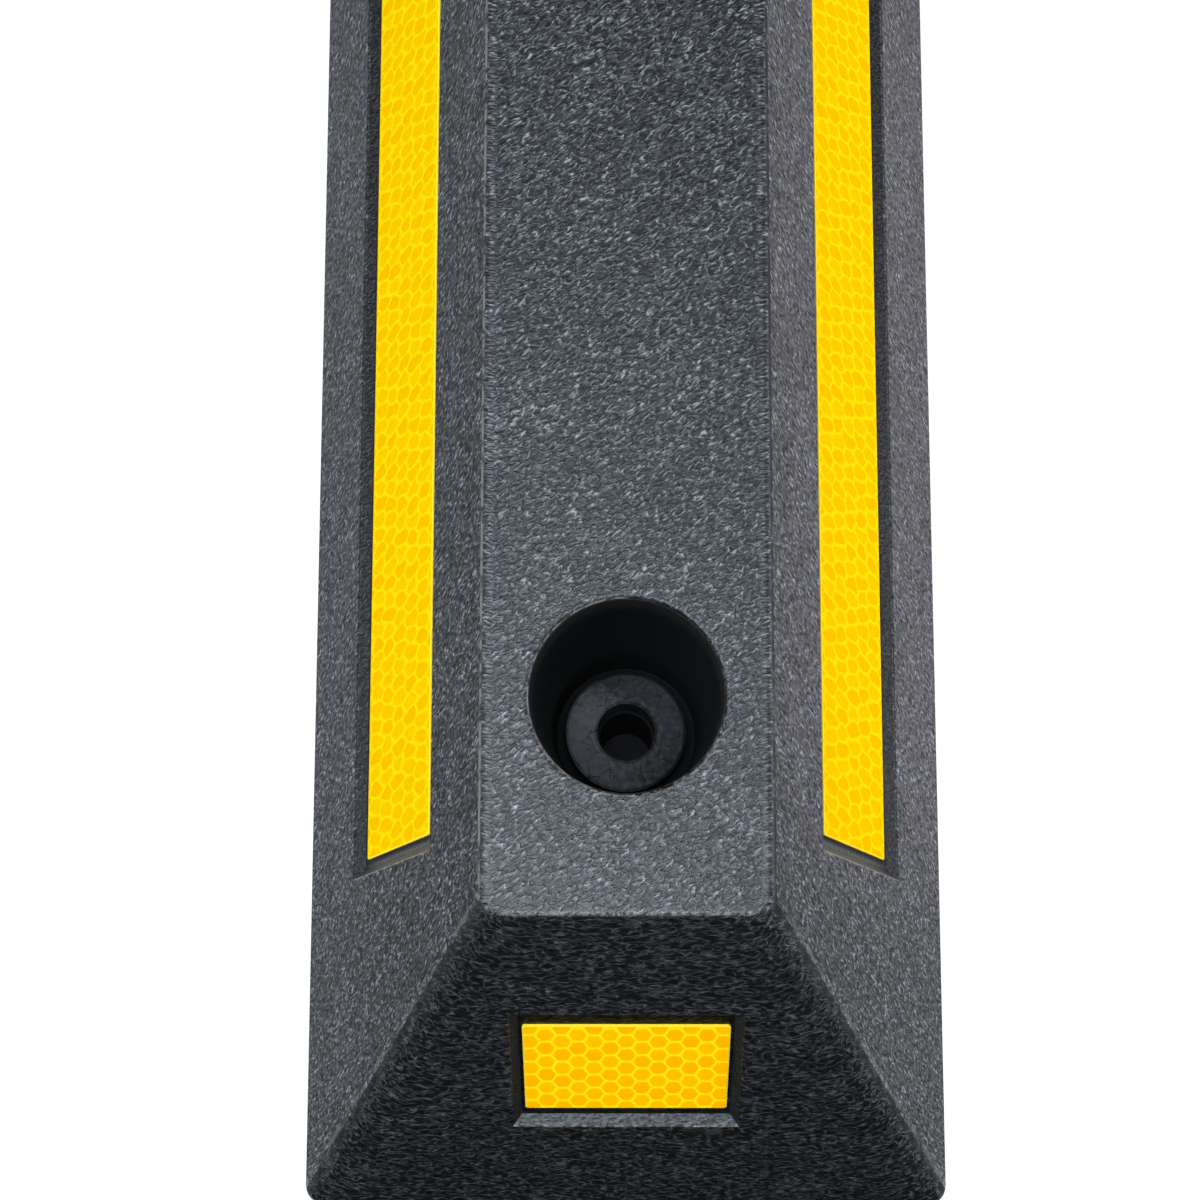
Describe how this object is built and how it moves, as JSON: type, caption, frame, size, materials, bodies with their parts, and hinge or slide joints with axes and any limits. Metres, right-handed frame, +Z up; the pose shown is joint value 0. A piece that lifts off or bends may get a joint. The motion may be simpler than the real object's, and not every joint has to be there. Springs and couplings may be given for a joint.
{
  "type": "rubber wheel stop",
  "caption": "Low black rubber block with sloping sides and ends that stops a parked car's wheel, with recessed yellow reflective tape and bolt wells with steel bushes.",
  "frame": {"origin": "centre of the rectangle that the base fills, on the ground", "axes": "+Y along the stop towards its rear end, +X to the right across it, +Z up"},
  "size_m": [0.15, 0.55, 0.1],
  "materials": {
    "rubber": "fine moulded grain, satin",
    "reflective_tape": "yellow honeycomb retroreflective film",
    "steel": "black zinc plating, mottled"
  },
  "bodies": {
    "root": {"body": "rubber", "left_side_tape": "reflective_tape", "right_side_tape": "reflective_tape", "front_end_tape": "reflective_tape", "rear_end_tape": "reflective_tape", "front_bush": "steel", "rear_bush": "steel"}
  },
  "joints": []
}
